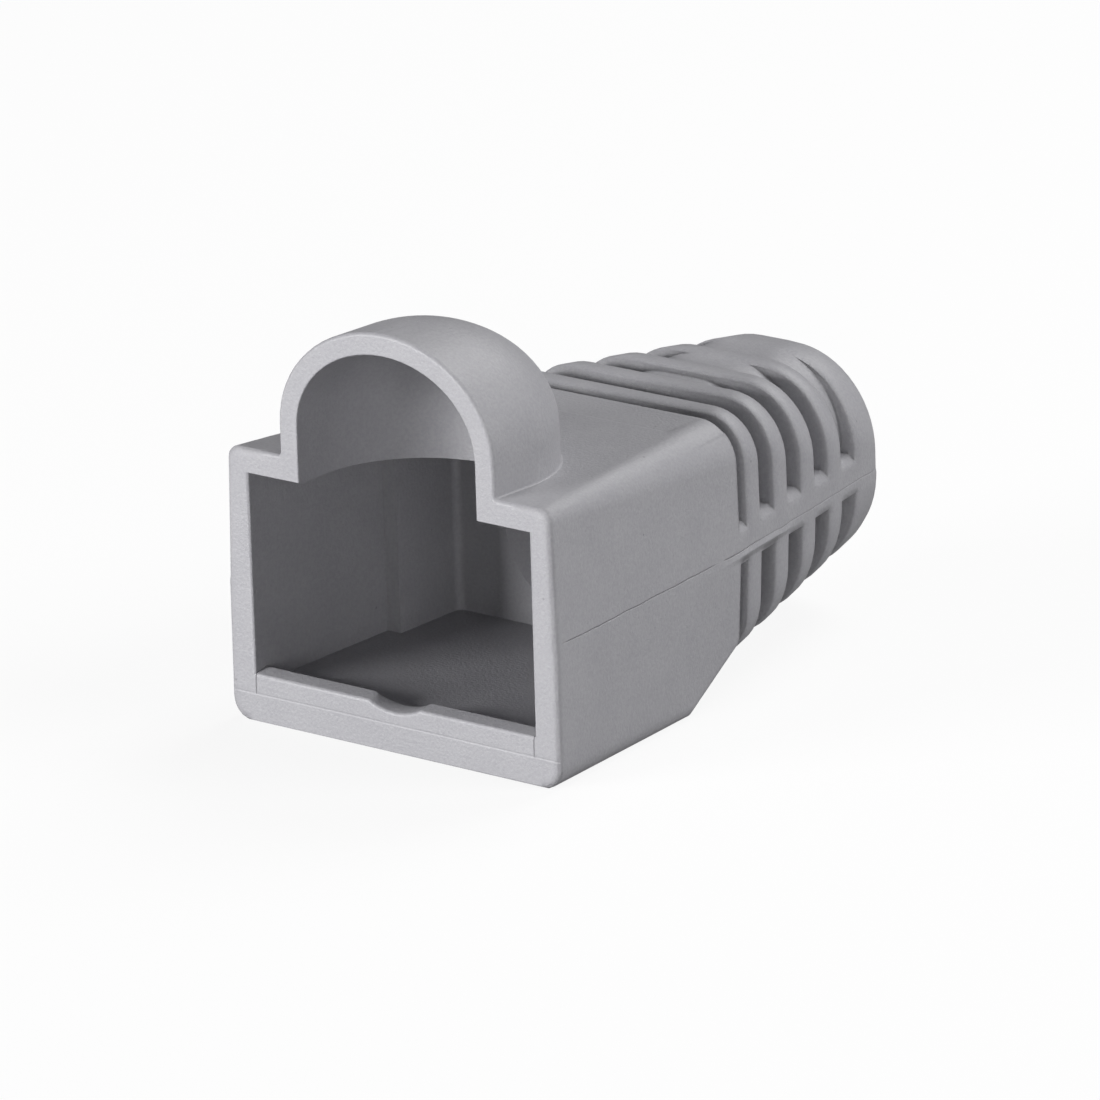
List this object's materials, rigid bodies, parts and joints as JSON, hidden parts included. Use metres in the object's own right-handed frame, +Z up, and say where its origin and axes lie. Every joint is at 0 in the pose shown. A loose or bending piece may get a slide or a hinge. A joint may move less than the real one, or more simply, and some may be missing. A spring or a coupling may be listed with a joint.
{
  "type": "rj45 strain relief boot",
  "caption": "One-piece soft plastic boot: square hood with a half-round latch hump and a ribbed tail with a round cable bore.",
  "frame": {"origin": "middle of the plug mouth's plane, at the height of the flat underside", "axes": "+X across the boot, +Y from the plug mouth to the cable end, +Z up, from the flat underside to the latch hump"},
  "size_m": [0.014, 0.0219, 0.0145],
  "materials": {
    "soft_pvc": "matte moulded grey with fine grain"
  },
  "bodies": {
    "root": {"boot": "soft_pvc"}
  },
  "joints": []
}
